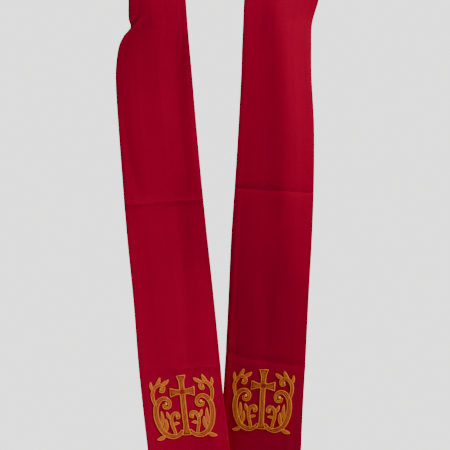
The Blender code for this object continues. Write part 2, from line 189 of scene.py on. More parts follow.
LEFT_SECTIONS = (
    Section(278.0, (60.0, -68.0, -42.0), (190.0, -66.0, -74.0), 8.0, 8.0),
    Section(330.0, (53.0, -92.0, -92.0), (187.0, -84.0, -108.0), 6.0, 7.0),
    Section(367.0, (49.7, -105.0, -137.9), (184.1, -97.0, -136.1), 3.0, 1.2),
    Section(410.0, (47.9, -111.5, -182.4), (171.6, -106.5, -181.2), 2.6, 4.2),
    Section(453.0, (45.9, -116.0, -226.3), (169.7, -114.0, -225.7), 3.3, 4.8),
    Section(501.0, (44.3, -120.5, -274.6), (169.7, -120.8, -276.2), 3.8, 5.2),
    Section(582.0, (40.1, -125.5, -353.3), (173.5, -130.2, -360.9), 2.0, 4.4),
    Section(650.0, (36.0, -128.6, -421.9), (173.3, -138.6, -429.9), 1.8, 4.1),
    Section(710.0, (31.9, -128.6, -482.4), (171.9, -143.6, -490.0), 1.9, 3.5),
    Section(797.0, (26.0, -129.4, -569.2), (168.0, -152.9, -576.3), 2.2, 2.4),
    Section(904.0, (20.9, -127.5, -676.9), (161.3, -163.0, -683.0), 2.0, 2.8),
    Section(1011.0, (15.7, -126.5, -784.7), (155.9, -166.5, -789.5), 2.8, 2.6),
    Section(1092.0, (10.8, -126.0, -865.4), (151.2, -168.5, -869.4), 1.8, 2.0),
    Section(1172.0, (6.6, -124.5, -946.2), (147.4, -173.5, -949.3), 0.4, -1.0),
    Section(1323.0, (-1.8, -123.5, -1097.0), (141.8, -174.5, -1098.4), 0.4, -0.8),
)

RIGHT_FOLDS = (
    # the short slanting fold at the notch in the outer edge
    Fold(((1.06, 414.5), (0.94, 405.0)), 7.0, -0.35, 8.0),
    Fold(((0.93, 403.5), (0.84, 394.5)), 5.0, -0.25, 9.0),
    Fold(((1.05, 418.0), (1.05, 440.0)), 10.0, 0.9, 10.0),
    Fold(((1.03, 428.0), (1.03, 500.0)), 8.0, 0.7, 16.0),
    Fold(((1.03, 420.0), (0.96, 415.0)), 4.2, 0.65, 13.0),
    Fold(((1.00, 418.0), (0.86, 407.5)), 3.8, 0.65, 12.0),
    Fold(((0.95, 414.0), (0.78, 400.0)), 3.2, 0.65, 11.0),
    # down the hanging strip
    Fold(((0.53, 421.0), (0.44, 474.0), (0.45, 560.0)), 22.0, 1.2, 50.0),
    Fold(((0.04, 474.0), (0.06, 501.0), (0.075, 560.0), (0.07, 680.0)), 13.0, 1.7, 36.0),
    Fold(((0.00, 730.0), (0.02, 800.0)), 34.0, 2.2, 50.0),
    Fold(((1.02, 728.0), (1.02, 780.0)), 48.0, 1.7, 30.0),
    Fold(((0.92, 573.0), (0.90, 636.0), (0.84, 690.0)), 9.0, -0.8, 25.0),
    Fold(((0.32, 770.0), (0.37, 994.0)), 14.0, -1.0, 50.0),
    Fold(((0.72, 800.0), (0.66, 990.0)), 22.0, 1.0, 60.0),
    Fold(((0.17, 1160.0), (0.17, 1323.0)), 20.0, 1.4, 22.0),
    Fold(((0.04, 900.0), (0.04, 1030.0)), 6.0, -0.4, 40.0),
    # the soft part of the storage creases
    Fold(((-0.10, 732.4), (1.10, 727.6)), 7.5, 0.9, 20.0),
    Fold(((-0.10, 1029.5), (1.10, 1025.5)), 9.0, 0.8, 20.0),
    Fold(((-0.10, 1029.5), (0.45, 1027.5)), 6.0, 0.9, 20.0),
    Fold(((-0.10, 100.0), (1.10, 102.0)), 11.0, 1.8, 20.0),
    # round the neck
    Fold(((0.05, 38.0), (0.62, 66.0)), 13.0, 1.9, 26.0),
    Fold(((0.02, 150.0), (0.66, 172.0)), 15.0, -2.2, 34.0),
    Fold(((0.08, 196.0), (0.80, 226.0)), 14.0, 1.7, 36.0),
    Fold(((0.30, 262.0), (0.95, 296.0)), 13.0, -1.5, 30.0),
)

LEFT_FOLDS = (
    # down the hanging strip
    Fold(
        ((0.47, 388.0), (0.57, 439.0), (0.61, 490.0), (0.66, 582.0), (0.66, 690.0)),
        27.0,
        3.3,
        40.0,
    ),
    Fold(((1.12, 340.0), (1.12, 385.0)), 22.0, 2.0, 14.0),
    Fold(((0.70, 740.0), (0.80, 850.0)), 24.0, 1.8, 40.0),
    Fold(((0.47, 885.0), (0.53, 1010.0)), 17.0, -1.3, 45.0),
    Fold(((0.88, 950.0), (0.90, 1018.0)), 16.0, 0.6, 30.0),
    Fold(((0.86, 1172.0), (0.87, 1323.0)), 8.0, 0.8, 20.0),
    # along the inner edge, down to where the other strip lies over it
    Fold(((-0.02, 930.0), (-0.02, 1330.0)), 4.0, -0.5, 60.0),
    Fold(((0.045, 810.0), (0.045, 985.0)), 3.5, 0.35, 30.0),
    Fold(((0.0, 985.0), (0.0, 1085.0)), 12.0, 1.2, 26.0),
    Fold(((0.0, 1060.0), (0.0, 1130.0)), 13.0, 0.9, 26.0),
    Fold(((-0.02, 1066.0), (-0.02, 1112.0)), 4.5, -1.7, 16.0),
    # the soft part of the storage creases
    Fold(((-0.10, 706.9), (1.10, 708.5)), 7.0, -0.9, 20.0),
    Fold(((0.76, 707.0), (1.10, 707.5)), 17.0, -0.8, 16.0),
    Fold(((0.80, 742.0), (1.10, 744.0)), 30.0, -0.7, 20.0),
    Fold(((-0.10, 999.0), (0.06, 1002.5), (0.20, 1007.5), (1.10, 1019.5)), 7.0, -1.0, 20.0),
    Fold(((-0.10, 399.0), (1.10, 401.0)), 10.0, -0.2, 20.0),
    Fold(((-0.10, 92.0), (1.10, 90.0)), 11.0, -1.8, 20.0),
    # round the neck
    Fold(((0.04, 30.0), (0.50, 52.0)), 12.0, 1.5, 24.0),
    Fold(((0.02, 140.0), (0.72, 158.0)), 16.0, 2.0, 36.0),
    Fold(((0.05, 186.0), (0.60, 204.0)), 12.0, -1.8, 30.0),
    Fold(((0.22, 240.0), (0.90, 278.0)), 15.0, 1.5, 34.0),
)

# The storage creases' own sharp lines
RIGHT_CREASES = (
    Fold(((-0.10, 731.4), (0.22, 729.8)), 4.0, 2.3, 26.0, True),
    Fold(((0.40, 729.4), (0.75, 728.8)), 4.2, 1.7, 26.0, True),
    Fold(((0.88, 728.4), (1.10, 727.2)), 5.0, 2.4, 20.0, True),
    Fold(((-0.10, 1029.0), (0.42, 1026.8)), 3.5, 1.0, 26.0, True),
    Fold(((0.50, 1026.6), (1.10, 1025.0)), 4.5, 0.15, 20.0, True),
    Fold(((-0.10, 416.0), (0.60, 415.0)), 5.0, 0.15, 20.0, True),
)
LEFT_CREASES = (
    Fold(((-0.10, 706.6), (0.50, 708.4), (1.10, 708.7)), 3.8, -1.5, 20.0, True),
    Fold(
        ((-0.10, 998.0), (0.06, 1001.5), (0.20, 1007.5), (0.50, 1013.5), (1.10, 1021.5)),
        4.5,
        -0.5,
        20.0,
        True,
    ),
    Fold(((-0.10, 401.0), (1.10, 399.0)), 5.0, -0.1, 20.0, True),
)
# Stretches along the strips, at the notch and the creases, that have closer rows
CREASE_ALONGS = ((380.0, 424.0), (700.0, 740.0), (1000.0, 1037.0))


def ripple(
    across: np.ndarray, along: np.ndarray, turns: float, run: float, start: float = 0.0
) -> np.ndarray:
    """Give a sine over the cloth, between -1 and 1.

    Args:
        across: 0 at the inner edge and 1 at the outer one.
        along: distances from the seam, in millimetres.
        turns: radians over the whole width.
        run: millimetres along for each radian.
        start: radians at the inner end of the seam.

    Returns:
        Its value at each place.
    """
    return np.sin(along / run + across * turns + start)


def wandering(
    across: np.ndarray,
    along: np.ndarray,
    turns: float,
    sway: float,
    run: float,
    start: float,
) -> np.ndarray:
    """Give a sine across the cloth whose lines wander as they run along it.

    Args:
        across: 0 at the inner edge and 1 at the outer one.
        along: distances from the seam, in millimetres.
        turns: radians over the whole width.
        sway: how many radians the lines wander.
        run: millimetres along for each radian of the wandering.
        start: radians of the wandering at the seam.

    Returns:
        Its value at each place.
    """
    return np.sin(across * turns + sway * np.sin(along / run + start))


@dataclass
class StripForm:
    """The outside surface of one half of the stole, over (across, along)."""

    side: Side
    length: float = 1323.0
    # the turned-in edge: how wide and high it is, and how softly it ends
    allowance: float = 11.0
    allowance_height: float = 0.12
    allowance_edge: float = 0.7
    # puckers of the edge's stitching: how far apart, how they sway, how far in they go
    pucker_height: float = 0.05
    pucker_run: float = 9.3
    pucker_sway: float = 2.0
    pucker_sway_run: float = 41.0
    pucker_reach: float = 9.0
    # slack waves and streaks, each with a smaller second set
    slack_height: float = 0.20
    streak_height: float = 0.07
    second_share: float = 0.4
    # the seam behind the neck, which holds the cloth flat beside it
    seam_flat: float = 30.0
    seam_dip: float = 0.8
    seam_width: float = 2.2
    # how far the edges to the wearer's right and left roll in, over what width
    roll_right: float = 0.5
    roll_left: float = -0.1
    roll_width: float = 3.0
    # how far before and after a point its slope is taken
    slope_span: float = 4.0
    along_rows: np.ndarray = field(init=False)
    table: np.ndarray = field(init=False)
    folds: tuple[Fold, ...] = field(init=False)

    def __post_init__(self) -> None:
        """Join the shared neck rows to this side's own rows."""
        sign = float(self.side.value)
        right = self.side is Side.RIGHT
        own = RIGHT_SECTIONS if right else LEFT_SECTIONS
        rows = [s.row(sign) for s in NECK_SECTIONS] + [s.row() for s in own]
        places = [s.along for s in NECK_SECTIONS] + [s.along for s in own]
        first = list(rows[1])
        first[0], first[3] = -first[0], -first[3]
        last = [2.0 * a - b for a, b in zip(rows[-1], rows[-2])]
        last[6:] = rows[-1][6:]
        self.table = np.array([first] + rows + [last])
        self.along_rows = np.array(
            [-places[1]] + places + [2.0 * places[-1] - places[-2]]
        )
        self.folds = RIGHT_FOLDS + RIGHT_CREASES if right else LEFT_FOLDS + LEFT_CREASES

    def section(self, along: np.ndarray) -> np.ndarray:
        """Blend the rows of the table smoothly at each distance.

        Args:
            along: distances from the seam behind the neck, in millimetres.

        Returns:
            One row of eight numbers for each distance.
        """
        t = self.along_rows
        k = np.clip(np.searchsorted(t, along) - 1, 1, len(t) - 3)
        p0, p1, p2, p3 = (self.table[k + j] for j in (-1, 0, 1, 2))
        t0, t1, t2, t3 = (t[k + j][:, None] for j in (-1, 0, 1, 2))
        span = t2 - t1
        u = (along[:, None] - t1) / span
        m1 = (p2 - p0) * (span / (t2 - t0))
        m2 = (p3 - p1) * (span / (t3 - t1))
        u2, u3 = u * u, u * u * u
        return (
            p1 * (2.0 * u3 - 3.0 * u2 + 1.0)
            + m1 * (u3 - 2.0 * u2 + u)
            + p2 * (3.0 * u2 - 2.0 * u3)
            + m2 * (u3 - u2)
        )

    def lift(self, across: np.ndarray, along: np.ndarray, rows: np.ndarray) -> np.ndarray:
        """Sum the section's own curve and the folds.

        Args:
            across: 0 at the inner edge and 1 at the outer one.
            along: distances from the seam, in millimetres.
            rows: the section rows at those distances.

        Returns:
            Heights above the flat cloth, in millimetres.
        """
        rest = 1.0 - across
        height = THIRDS * rest * across * (rows[:, 6] * rest + rows[:, 7] * across)
        for fold in self.folds:
            height = height + fold.rise(across, along)
        return height

    def slack(self, across: np.ndarray, along: np.ndarray) -> np.ndarray:
        """Give the long shallow waves of hanging cloth, about 1 high.

        Args:
            across: 0 at the inner edge and 1 at the outer one.
            along: distances from the seam, in millimetres.

        Returns:
            Heights as shares of slack_height.
        """
        sign = float(self.side.value)
        slow = ripple(across, along, turns=4.0 * sign, run=97.0, start=1.3 * sign)
        slow = slow * ripple(across, along, turns=5.1, run=173.0, start=sign)
        quick = ripple(across, along, turns=-6.0, run=41.0, start=sign)
        quick = quick * ripple(across, along, turns=9.0, run=91.0)
        return slow + self.second_share * quick

    def streaks(self, across: np.ndarray, along: np.ndarray) -> np.ndarray:
        """Give the faint wandering lines down a pressed strip, about 1 high.

        Args:
            across: 0 at the inner edge and 1 at the outer one.
            along: distances from the seam, in millimetres.

        Returns:
            Heights as shares of streak_height.
        """
        sign = float(self.side.value)
        broad = wandering(across, along, turns=31.0, sway=1.7, run=190.0, start=sign)
        broad = broad * ripple(across, along, turns=13.0, run=310.0)
        fine = wandering(across, along, turns=67.0, sway=2.3, run=140.0, start=-sign)
        return broad + self.second_share * fine

    def relief(self, across: np.ndarray, along: np.ndarray) -> np.ndarray:
        """Give the low relief of a sewn strip: turned edges, puckers and slack.

        Args:
            across: 0 at the inner edge and 1 at the outer one.
            along: distances from the seam, in millimetres.

        Returns:
            Heights in millimetres.
        """
        edge = np.minimum(across, 1.0 - across) * MEAN_WIDTH
        turned = 1.0 / (1.0 + np.exp((edge - self.allowance) / self.allowance_edge))
        sway = self.pucker_sway * np.sin(along / self.pucker_sway_run)
        pucker = np.sin(along / self.pucker_run + sway)
        pucker *= np.exp(-edge / self.pucker_reach)
        low = self.allowance_height * turned + self.pucker_height * pucker
        low += self.slack_height * self.slack(across, along)
        low += self.streak_height * self.streaks(across, along)
        low *= 1.0 - np.exp(-((along / self.seam_flat) ** 2))
        on_left = (across - 0.5) * float(self.side.value) > 0.0
        roll = np.where(on_left, self.roll_left, self.roll_right)
        low -= roll * np.exp(-((edge / self.roll_width) ** 2))
        return low - self.seam_dip * np.exp(-((along / self.seam_width) ** 2))

    def flat(self, across: np.ndarray, along: np.ndarray) -> np.ndarray:
        """Give points on the straight lines between the edges, in millimetres."""
        rows = self.section(along)
        return rows[:, 0:3] + (rows[:, 3:6] - rows[:, 0:3]) * across[:, None]

    def place(
        self, across: np.ndarray, along: np.ndarray, off: np.ndarray | float = 0.0
    ) -> np.ndarray:
        """Give points on the outside surface, moved out by a distance.

        Args:
            across: 0 at the inner edge and 1 at the outer one.
            along: distances from the seam, in millimetres.
            off: distance away from the wearer, in millimetres.

        Returns:
            Points in millimetres.
        """
        rows = self.section(along)
        ahead, behind = along + self.slope_span, along - self.slope_span
        run = self.flat(across, ahead) - self.flat(across, behind)
        normal = np.cross(run, rows[:, 3:6] - rows[:, 0:3]) * float(self.side.value)
        normal /= np.linalg.norm(normal, axis=1, keepdims=True)
        height = self.lift(across, along, rows) + self.relief(across, along) + off
        point = rows[:, 0:3] + (rows[:, 3:6] - rows[:, 0:3]) * across[:, None]
        return point + normal * height[:, None]

    def width(self, along: np.ndarray) -> np.ndarray:
        """Give the straight distance between the edges."""
        rows = self.section(along)
        return np.linalg.norm(rows[:, 3:6] - rows[:, 0:3], axis=1)

    def across_of(self, aside: np.ndarray, along: np.ndarray) -> np.ndarray:
        """Turn distances along +X from the strip's middle into shares of its width."""
        return 0.5 + aside * float(self.side.value) / self.width(along)


# ------------------------------------------------------------------------- meshes


def make_object(
    name: str,
    vertices: np.ndarray,
    faces: list[tuple[int, ...]] | np.ndarray,
    lay: np.ndarray,
    material: bpy.types.Material,
) -> bpy.types.Object:
    """Make a smooth mesh object with the cloth coordinates of its points.

    Args:
        name: the piece's name.
        vertices: points in millimetres.
        faces: corners of each face.
        lay: cloth coordinates of each point, in millimetres.
        material: what it is dressed in.

    Returns:
        The new object, linked to the scene.
    """
    mesh = bpy.data.meshes.new(name)
    mesh.from_pydata((vertices * MM).tolist(), [], [tuple(f) for f in faces])
    mesh.update()
    store = mesh.attributes.new("lay", "FLOAT_VECTOR", "POINT")
    store.data.foreach_set("vector", (lay * MM).astype(np.float32).ravel())
    mesh.shade_smooth()
    mesh.materials.append(material)
    item = bpy.data.objects.new(name, mesh)
    bpy.context.scene.collection.objects.link(item)
    return item


def tube_faces(rows: int, ring: int, closed: bool = False) -> np.ndarray:
    """Give the quads between successive rings of points.

    Args:
        rows: how many rings there are.
        ring: how many points each ring has.
        closed: whether the last ring joins the first.

    Returns:
        An array of quads, facing out where the rings turn anticlockwise.
    """
    count = rows if closed else rows - 1
    i = np.repeat(np.arange(count), ring)
    j = np.tile(np.arange(ring), count)
    nxt = (i + 1) % rows
    jn = (j + 1) % ring
    return np.stack([i * ring + j, i * ring + jn, nxt * ring + jn, nxt * ring + j], 1)


# ------------------------------------------------------------------------ finishes


class Wire:
    """A shader socket whose arithmetic adds Math nodes."""

    def __init__(self, bench: Bench, socket: bpy.types.NodeSocket) -> None:
        """Keep the socket and the bench that its tree is on."""
        self.bench = bench
        self.socket = socket

    def _math(self, operation: str, *values: Wire | float) -> Wire:
        """Add one Math node."""
        inputs = dict(enumerate(values))
        return self.bench.node("ShaderNodeMath", {"operation": operation}, inputs)

    def __add__(self, other: Wire | float) -> Wire:
        """Add."""
        return self._math("ADD", self, other)

    __radd__ = __add__

    def __mul__(self, other: Wire | float) -> Wire:
        """Multiply."""
        return self._math("MULTIPLY", self, other)

    __rmul__ = __mul__

    def wave(self) -> Wire:
        """Take the sine."""
        return self._math("SINE", self)


class Bench:
    """Builds the nodes of one tree."""

    def __init__(self, tree: bpy.types.NodeTree) -> None:
        """Keep the tree."""
        self.tree = tree

    def node(
        self,
        kind: str,
        settings: dict[str, object] | None = None,
        values: dict[str | int, object] | None = None,
        output: str | int = 0,
    ) -> Wire:
        """Add one node.

        Args:
            kind: the node's type.
            settings: its own properties, set first.
            values: numbers, vectors or wires for its inputs.
            output: which output to give back.

        Returns:
            The chosen output, ready for arithmetic.
        """
        made = self.tree.nodes.new(kind)
        for key, value in (settings or {}).items():
            setattr(made, key, value)
        for key, value in (values or {}).items():
            self.feed(made.inputs[key], value)
        return Wire(self, made.outputs[output])

    def feed(self, socket: bpy.types.NodeSocket, value: object) -> None:
        """Link a wire to a socket, or set its value.

        Args:
            socket: the node's input.
            value: a wire, or a plain number or colour.
        """
        if isinstance(value, Wire):
            self.tree.links.new(value.socket, socket)
        else:
            socket.default_value = value

    def blend(self, share: Wire | float, first: object, second: object) -> Wire:
        """Mix two colours."""
        settings = {"data_type": "RGBA"}
        return self.node("ShaderNodeMix", settings, {0: share, 6: first, 7: second}, 2)

    def parts(self, vector: Wire) -> tuple[Wire, Wire, Wire]:
        """Split a vector.

        Args:
            vector: the vector's wire.

        Returns:
            Its three parts.
        """
        split = self.node("ShaderNodeSeparateXYZ", values={0: vector})
        outputs = split.socket.node.outputs
        return split, Wire(self, outputs[1]), Wire(self, outputs[2])


class Workshop(Bench):
    """Builds one material: a principled shader and the nodes that feed it."""

    def __init__(self, name: str) -> None:
        """Start the material.

        Args:
            name: the material's name.
        """
        self.material = bpy.data.materials.new(name)
        self.material.use_nodes = True
        super().__init__(self.material.node_tree)
        self.shader = self.tree.nodes["Principled BSDF"]

    def lay(self) -> Wire:
        """Give the cloth coordinates of the point, in metres."""
        settings = {"attribute_type": "GEOMETRY", "attribute_name": "lay"}
        return self.node("ShaderNodeAttribute", settings, output="Vector")

    def noise(self, vector: Wire, cells: float, detail: float = 2.0) -> Wire:
        """Add a noise between 0 and 1, with so many cells to a metre."""
        values = {"Vector": vector, "Scale": cells, "Detail": detail}
        return self.node("ShaderNodeTexNoise", {"noise_dimensions": "3D"}, values)

    def bump(self, height: Wire, depth: float, strength: float) -> Wire:
        """Turn a height into a normal; depth is in metres."""
        values = {"Height": height, "Distance": depth, "Strength": strength}
        return self.node("ShaderNodeBump", values=values)

    def finish(self, **values: object) -> bpy.types.Material:
        """Set the shader's sockets.

        Args:
            **values: wires or plain values, each under its socket's name with _ for
                each space.

        Returns:
            The finished material.
        """
        for key, value in values.items():
            self.feed(self.shader.inputs[key.replace("_", " ")], value)
        return self.material


def colour(red: float, green: float, blue: float) -> tuple[float, float, float, float]:
    """Give a colour with full alpha."""
    return (red, green, blue, 1.0)


@dataclass(frozen=True)
class CrimsonCloth:
    """Matte closely woven cloth, with a soft sheen and faint shading.

    Noises are in cells to a metre; the thread's spacing and the nap are in metres. The
    shares say how much each thing moves the colour from deep to light.
    """

    name: str = "crimson_cloth"
    deep: tuple[float, float, float] = (0.210, 0.0014, 0.0178)
    light: tuple[float, float, float] = (0.320, 0.0005, 0.0212)
    thread: float = 0.00055
    twill_share: float = 0.5
    slub_cells: float = 620.0
    slub_detail: float = 3.0
    cloud_cells: float = 14.0
    fuzz_cells: float = 1500.0
    slub_share: float = 0.55
    cloud_share: float = 0.35
    weave_share: float = 0.06
    least_share: float = 0.03
    weave_nap: float = 0.5
    nap_depth: float = 0.00006
    nap_strength: float = 0.6
    roughness: float = 0.82
    roughness_spread: float = 0.10
    gloss: float = 0.008
    sheen: float = 0.05
    sheen_roughness: float = 0.5
    sheen_tint: tuple[float, float, float] = (1.0, 0.20, 0.22)

    def make(self) -> bpy.types.Material:
        """Build the material.

        Returns:
            The finished material.
        """
        shop = Workshop(self.name)
        lay = shop.lay()
        x, y, _depth = shop.parts(lay)
        turn = 2.0 * math.pi / self.thread
        warp = (x * turn).wave()
        weft = (y * turn).wave()
        twill = ((x + y) * (turn / 2.0)).wave()
        weave = warp * weft * (1.0 - self.twill_share) + twill * self.twill_share
        slub = shop.noise(lay, self.slub_cells, self.slub_detail)
        cloud = shop.noise(lay, self.cloud_cells)
        tone = cloud * self.cloud_share + slub * self.slub_share
        tone = tone + weave * self.weave_share + self.least_share
        base = shop.blend(tone, colour(*self.deep), colour(*self.light))
        fuzz = shop.noise(lay, self.fuzz_cells)
        nap = weave * self.weave_nap + fuzz
        return shop.finish(
            Base_Color=base,
            Roughness=slub * self.roughness_spread + self.roughness,
            Normal=shop.bump(nap, self.nap_depth, self.nap_strength),
            Specular_IOR_Level=self.gloss,
            Sheen_Weight=self.sheen,
            Sheen_Roughness=self.sheen_roughness,
            Sheen_Tint=colour(*self.sheen_tint),
        )


@dataclass(frozen=True)
class GoldThread:
    """Embroidery thread laid side by side, with painted highlight and shade along each strand.

    The strand's spacing and the ridges' depth are in metres. The shares say how much
    each thing moves the colour from deep to light, and the ridges how much it lifts
    the surface.
    """

    name: str
    deep: tuple[float, float, float]
    light: tuple[float, float, float]
    strand: float = 0.00042
    wander_cells: float = 900.0
    # how far the painted highlight and shade of each strand move its colour from deep to light
    strand_painted_shade: float = 0.22
    wander_share: float = 0.9
    least_share: float = 0.02
    strand_ridge: float = 0.5
    wander_ridge: float = 0.6
    ridge_depth: float = 0.00012
    ridge_strength: float = 0.7
    metal: float = 0.25
    roughness: float = 0.35
    roughness_spread: float = 0.2
    gloss: float = 0.1

    def make(self) -> bpy.types.Material:
        """Build the material.

        Returns:
            The finished material.
        """
        shop = Workshop(self.name)
        lay = shop.lay()
        _x, y, _z = shop.parts(lay)
        strands = (y * (2.0 * math.pi / self.strand)).wave()
        wander = shop.noise(lay, self.wander_cells)
        # the strand sine in the colour is painted shade: each strand lighter along its top and
        # darker in its grooves
        tone = strands * self.strand_painted_shade + wander * self.wander_share
        tone = tone + self.least_share
        base = shop.blend(tone, colour(*self.deep), colour(*self.light))
        ridges = strands * self.strand_ridge + wander * self.wander_ridge
        return shop.finish(
            Base_Color=base,
            Roughness=wander * self.roughness_spread + self.roughness,
            Normal=shop.bump(ridges, self.ridge_depth, self.ridge_strength),
            Metallic=self.metal,
            Specular_IOR_Level=self.gloss,
        )


THREADS = {
    Layer.GROUND: GoldThread(
        "russet_ground", deep=(0.20, 0.005, 0.006), light=(0.31, 0.016, 0.011), metal=0.0
    ),
    Layer.SATIN: GoldThread(
        "gold_satin", deep=(0.37, 0.059, 0.013), light=(0.60, 0.136, 0.026)
    ),
    Layer.CORD: GoldThread(
        "gold_cord", deep=(0.53, 0.142, 0.019), light=(0.86, 0.320, 0.045), strand=0.0009
    ),
}


# ------------------------------------------------------------------------- panels


@dataclass
class Panel:
    """One half's strip: a closed wall of cloth with rounded edges and hem."""

    form: StripForm
    wall: float = 2.0
    columns: int = 62
    # how far the columns near an edge are from it
    margin: tuple[float, ...] = (0.0, 0.6, 1.2, 1.8, 2.5, 3.4, 4.8, 6.8, 9.0, 10.2, 11.2, 12.4)
    # how far apart the rows are: in plain cloth, at the creases and at the seam
    row_step: float = 3.6
    crease_step: float = 0.9
    seam_step: float = 0.8
    seam_rows: int = 5
    edge_steps: int = 4
    hem_steps: int = 3
    # how far the hem's tip stands out, and how thick it is, as shares of the wall
    hem_reach: float = 0.98
    hem_blunt: float = 0.12

    def run(self) -> np.ndarray:
        """List the columns of the mesh, closest together near the edges.

        Returns:
            Each column's share of the way across.
        """
        edge = np.array(self.margin) / MEAN_WIDTH
        inside = np.linspace(edge[-1], 1.0 - edge[-1], self.columns)[1:-1]
        return np.concatenate([edge, inside, 1.0 - edge[::-1]])

    def ring(self) -> tuple[np.ndarray, np.ndarray, np.ndarray]:
        """List the points of the ring round the wall.

        Returns:
            Each point's share of the way across, its distance out past the edge, and
            its depth under the face.
        """
        radius = self.wall / 2.0
        run = self.run()
        turn = np.linspace(0.0, math.pi, self.edge_steps + 2)[1:-1]
        bulge, deep = radius * np.sin(turn), radius * (1.0 - np.cos(turn))
        across = np.concatenate([run, np.ones_like(turn), run[::-1], np.zeros_like(turn)])
        beyond = np.concatenate([run * 0.0, bulge, run * 0.0, -bulge])
        depth = np.concatenate([run * 0.0, deep, run * 0.0 + self.wall, deep[::-1]])
        return across, beyond, depth

    def rows(self) -> tuple[np.ndarray, np.ndarray]:
        """List the rings from the seam to the hem's tip.

        Returns:
            Each ring's distance along, and the share of the wall that it has.
        """
        length = self.form.length
        spots = [k * self.seam_step for k in range(self.seam_rows)]
        while spots[-1] < length:
            close = any(low <= spots[-1] < high for low, high in CREASE_ALONGS)
            spots.append(spots[-1] + (self.crease_step if close else self.row_step))
        along = np.array(spots[:-1] + [length])
        radius = self.wall / 2.0
        turn = np.linspace(0.0, math.pi / 2.0, self.hem_steps + 1)[1:]
        tip = length + radius * np.sin(turn) * self.hem_reach
        thin = np.cos(turn)
        thin[-1] = self.hem_blunt
        return np.concatenate([along, tip]), np.concatenate([along * 0.0 + 1.0, thin])

    def cap(self, start: int, ring: int) -> list[tuple[int, ...]]:
        """Close one end of the wall, from the columns in front to those behind.

        Args:
            start: the first point of the end's ring.
            ring: how many points a ring has.

        Returns:
            The faces, turned the way that they have at the hem.
        """
        front = len(self.run())
        back = start + front + self.edge_steps
        faces: list[tuple[int, ...]] = []
        for k in range(front - 1):
            far = back + front - 1 - k
            faces.append((start + k, start + k + 1, far - 1, far))
        side = range(start + front - 1, back + 1)
        other = [back + front - 1, *range(back + front, start + ring), start]
        return faces + [tuple(side), tuple(other)]

    def build(self, material: bpy.types.Material) -> bpy.types.Object:
        """Build the panel's mesh.

        Args:
            material: the cloth.

        Returns:
            The panel as one closed piece.
        """
        across, beyond, depth = self.ring()
        along, full = self.rows()
        rows, ring = len(along), len(across)
        share, spot = np.tile(across, rows), np.repeat(along, ring)
        thick, middle = np.repeat(full, ring), self.wall / 2.0
        deep = middle + (np.tile(depth, rows) - middle) * thick
        points = self.form.place(share, spot, -deep)
        section = self.form.section(spot)
        sideways = section[:, 3:6] - section[:, 0:3]
        sideways /= np.linalg.norm(sideways, axis=1, keepdims=True)
        points += sideways * (np.tile(beyond, rows) * thick)[:, None]
        lay = np.stack([(share - 0.5) * self.form.width(spot), spot, deep], 1)
        faces = tube_faces(rows, ring).tolist()
        faces += [face[::-1] for face in self.cap(0, ring)]
        faces += self.cap((rows - 1) * ring, ring)
        if self.form.side is Side.LEFT:
            faces = [tuple(f)[::-1] for f in faces]
        name = f"stole_{self.form.side.word}"
        return make_object(name, points, faces, lay, material)


# ---------------------------------------------------------------------- ornaments


@dataclass(frozen=True)
class Stroke:
    """A band of embroidery: its middle line and half its width at each point."""

    points: np.ndarray
    halves: np.ndarray

    def sides(self) -> tuple[np.ndarray, np.ndarray]:
        """Give the two long edges.

        Returns:
            The points of the edge on the left of the band's run, then of the other.
        """
        run = np.gradient(self.points, axis=0)
        run /= np.linalg.norm(run, axis=1, keepdims=True)
        square = np.stack([-run[:, 1], run[:, 0]], 1)
        edge = square * self.halves[:, None]
        return self.points + edge, self.points - edge

    def outline(self) -> np.ndarray:
        """Give the closed line round the band."""
        one, two = self.sides()
        return np.concatenate([one, two[::-1]])


def lengths_along(points: np.ndarray) -> np.ndarray:
    """Give the distance of each point along the line that they make."""
    steps = np.linalg.norm(np.diff(points, axis=0), axis=1)
    return np.concatenate([[0.0], np.cumsum(steps)])


def smooth_line(points: np.ndarray, step: float) -> np.ndarray:
    """Run a smooth curve through points, with a point at each step.

    Args:
        points: one row per point, of any number of columns.
        step: the spacing wanted, in millimetres.

    Returns:
        The rows of the curve.
    """
    first = 2.0 * points[0] - points[1]
    last = 2.0 * points[-1] - points[-2]
    p = np.vstack([first, points, last])
    rows = []
    for k in range(1, len(p) - 2):
        count = max(2, round(float(np.linalg.norm(p[k + 1, :2] - p[k, :2])) / step))
        t = np.linspace(0.0, 1.0, count, endpoint=False)[:, None]
        rows.append(
            0.5
            * (
                2.0 * p[k]
                + (p[k + 1] - p[k - 1]) * t
                + (2.0 * p[k - 1] - 5.0 * p[k] + 4.0 * p[k + 1] - p[k + 2]) * t**2
                + (3.0 * p[k] - p[k - 1] - 3.0 * p[k + 1] + p[k + 2]) * t**3
            )
        )
    return np.vstack(rows + [points[-1:]])


